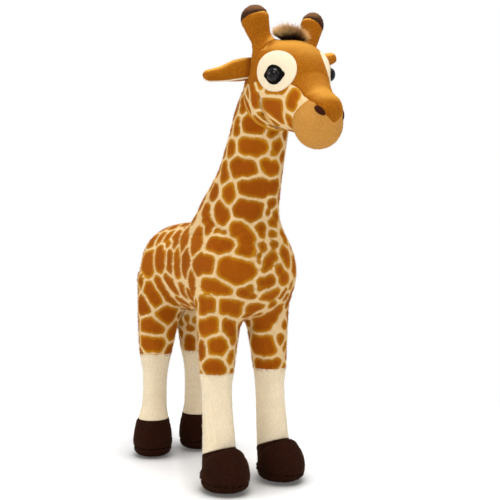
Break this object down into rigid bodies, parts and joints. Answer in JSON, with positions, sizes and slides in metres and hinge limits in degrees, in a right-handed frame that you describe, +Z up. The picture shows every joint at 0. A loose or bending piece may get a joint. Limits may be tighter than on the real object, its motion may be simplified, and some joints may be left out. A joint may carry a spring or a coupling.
{
  "type": "plush giraffe",
  "caption": "Standing plush giraffe with four stuffed legs, a long neck, a nodding head with horns, soft ears that flap and a tufted tail that lifts.",
  "frame": {"origin": "on the floor under the middle of the whole toy", "axes": "+Z up, the toy faces -Y, +X is the toy's own left"},
  "size_m": [0.1614, 0.3636, 0.4997],
  "materials": {
    "printed_plush": "short-pile plush printed with brown patches and cream lines",
    "golden_plush": "short-pile plush, plain golden",
    "cream_plush": "short-pile plush, cream",
    "tan_plush": "short-pile plush, tan",
    "dark_plush": "short-pile plush, very dark brown",
    "dark_pile": "long pile, dark brown with pale tips",
    "black_felt": "thin black-brown felt",
    "stuffing": "white polyester fibre fill",
    "eye_plastic": "polished black dome",
    "washer_plastic": "moulded, satin"
  },
  "bodies": {
    "torso": {"torso_cover": "printed_plush", "torso_fill": "stuffing", "neck_cover": "printed_plush", "neck_fill": "stuffing", "mane": "dark_pile", "front_right_leg_cover": "printed_plush", "front_right_sock": "cream_plush", "front_right_hoof": "dark_plush", "front_right_sole": "dark_plush", "front_right_leg_fill": "stuffing", "front_left_leg_cover": "printed_plush", "front_left_sock": "cream_plush", "front_left_hoof": "dark_plush", "front_left_sole": "dark_plush", "front_left_leg_fill": "stuffing", "hind_right_leg_cover": "printed_plush", "hind_right_sock": "cream_plush", "hind_right_hoof": "dark_plush", "hind_right_sole": "dark_plush", "hind_right_leg_fill": "stuffing", "hind_left_leg_cover": "printed_plush", "hind_left_sock": "cream_plush", "hind_left_hoof": "dark_plush", "hind_left_sole": "dark_plush", "hind_left_leg_fill": "stuffing"},
    "head": {"head_cover": "printed_plush", "head_fill": "stuffing", "face_panel": "golden_plush", "muzzle_cover": "tan_plush", "muzzle_fill": "stuffing", "forelock": "dark_pile", "eye_right_patch": "cream_plush", "eye_right_lash": "black_felt", "eye_right": "eye_plastic", "eye_right_washer": "washer_plastic", "nostril_right": "black_felt", "horn_right_cover": "golden_plush", "horn_right_tip": "dark_plush", "horn_right_fill": "stuffing", "eye_left_patch": "cream_plush", "eye_left_lash": "black_felt", "eye_left": "eye_plastic", "eye_left_washer": "washer_plastic", "nostril_left": "black_felt", "horn_left_cover": "golden_plush", "horn_left_tip": "dark_plush", "horn_left_fill": "stuffing"},
    "ear_right": {"ear_right_back": "golden_plush", "ear_right_lining": "cream_plush"},
    "ear_left": {"ear_left_back": "golden_plush", "ear_left_lining": "cream_plush"},
    "tail": {"tail_cover": "printed_plush", "tail_tuft": "dark_pile"}
  },
  "joints": [
    {"name": "head_nod", "type": "hinge", "parent": "torso", "child": "head", "pos_m": [0, -0.08137, 0.42461], "axis": [1, 0, 0], "range_deg": [-12, 10], "stiffness_Nm_per_rad": 3},
    {"name": "ear_right_flap", "type": "hinge", "parent": "head", "child": "ear_right", "pos_m": [-0.0328, -0.09188, 0.43941], "axis": [0.3263, 0.9453, 0], "range_deg": [-15, 15], "stiffness_Nm_per_rad": 0.15},
    {"name": "ear_left_flap", "type": "hinge", "parent": "head", "child": "ear_left", "pos_m": [0.0328, -0.09188, 0.43941], "axis": [0.1182, -0.993, 0], "range_deg": [-15, 15], "stiffness_Nm_per_rad": 0.15},
    {"name": "tail_lift", "type": "hinge", "parent": "torso", "child": "tail", "pos_m": [0, 0.15516, 0.25949], "axis": [1, 0, 0], "range_deg": [0, 60]}
  ]
}
